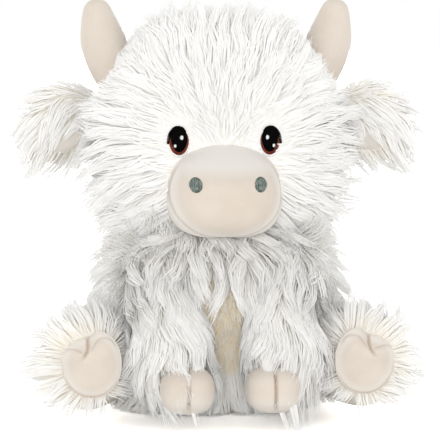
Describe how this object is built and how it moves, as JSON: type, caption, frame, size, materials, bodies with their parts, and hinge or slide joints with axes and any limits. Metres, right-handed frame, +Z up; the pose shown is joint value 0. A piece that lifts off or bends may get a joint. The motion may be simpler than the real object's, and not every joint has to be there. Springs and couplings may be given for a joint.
{
  "type": "plush cow",
  "caption": "Seated plush cow with long shaggy cream pile, beige short-pile muzzle, horns, hooves and soles, embroidered eyes and nostrils, and limbs that bend at their seams.",
  "frame": {"origin": "middle of the width and depth, at the floor that the cow sits on", "axes": "+Z up, the face towards -Y, the viewer's left of the face towards -X"},
  "size_m": [0.2382, 0.2132, 0.2501],
  "materials": {
    "long_pile": "long cream-white pile",
    "short_pile": "short beige pile",
    "eye_thread": "satin stitch in dark red-brown and black thread",
    "nostril_thread": "satin stitch in grey-green thread",
    "woven_cloth": "plain weave"
  },
  "bodies": {
    "body": {"torso": "long_pile", "seat_panel": "long_pile", "pellet_pouch": "woven_cloth"},
    "head": {"head": "long_pile", "muzzle": "short_pile", "eye_left": "eye_thread", "eye_right": "eye_thread", "nostril_left": "nostril_thread", "nostril_right": "nostril_thread", "horn_left": "short_pile", "horn_right": "short_pile"},
    "ear_left": {"ear_left": "long_pile", "ear_lining_left": "short_pile"},
    "ear_right": {"ear_right": "long_pile", "ear_lining_right": "short_pile"},
    "front_leg_left": {"front_leg_left": "long_pile", "front_hoof_left": "short_pile"},
    "front_leg_right": {"front_leg_right": "long_pile", "front_hoof_right": "short_pile"},
    "hind_leg_left": {"hind_leg_left": "long_pile", "hind_sole_left": "short_pile"},
    "hind_leg_right": {"hind_leg_right": "long_pile", "hind_sole_right": "short_pile"},
    "tail": {"tail": "long_pile", "tail_tuft": "long_pile"}
  },
  "joints": [
    {"name": "head_turn", "type": "hinge", "parent": "body", "child": "head", "pos_m": [0, 0.00456, 0.108], "axis": [0, 0, 1], "range_deg": [-20, 20], "stiffness_Nm_per_rad": 0.06},
    {"name": "ear_left_flap", "type": "hinge", "parent": "head", "child": "ear_left", "pos_m": [-0.07094, 0.00256, 0.178], "axis": [0, 1, 0], "range_deg": [-15, 15], "stiffness_Nm_per_rad": 0.03},
    {"name": "ear_right_flap", "type": "hinge", "parent": "head", "child": "ear_right", "pos_m": [0.07094, 0.00256, 0.178], "axis": [0, -1, 0], "range_deg": [-15, 15], "stiffness_Nm_per_rad": 0.03},
    {"name": "front_leg_left_lift", "type": "hinge", "parent": "body", "child": "front_leg_left", "pos_m": [-0.0385, -0.03144, 0.082], "axis": [-1, 0, 0], "range_deg": [0, 35], "stiffness_Nm_per_rad": 0.05},
    {"name": "front_leg_right_lift", "type": "hinge", "parent": "body", "child": "front_leg_right", "pos_m": [0.0385, -0.03144, 0.082], "axis": [-1, 0, 0], "range_deg": [0, 35], "stiffness_Nm_per_rad": 0.05},
    {"name": "hind_leg_left_splay", "type": "hinge", "parent": "body", "child": "hind_leg_left", "pos_m": [-0.0615, 0.01056, 0.033], "axis": [0, 0, -1], "range_deg": [0, 25], "stiffness_Nm_per_rad": 0.06},
    {"name": "hind_leg_right_splay", "type": "hinge", "parent": "body", "child": "hind_leg_right", "pos_m": [0.0615, 0.01056, 0.033], "axis": [0, 0, 1], "range_deg": [0, 25], "stiffness_Nm_per_rad": 0.06},
    {"name": "tail_swing", "type": "hinge", "parent": "body", "child": "tail", "pos_m": [0, 0.05413, 0.03], "axis": [0, 0, 1], "range_deg": [-20, 20], "stiffness_Nm_per_rad": 0.01}
  ]
}
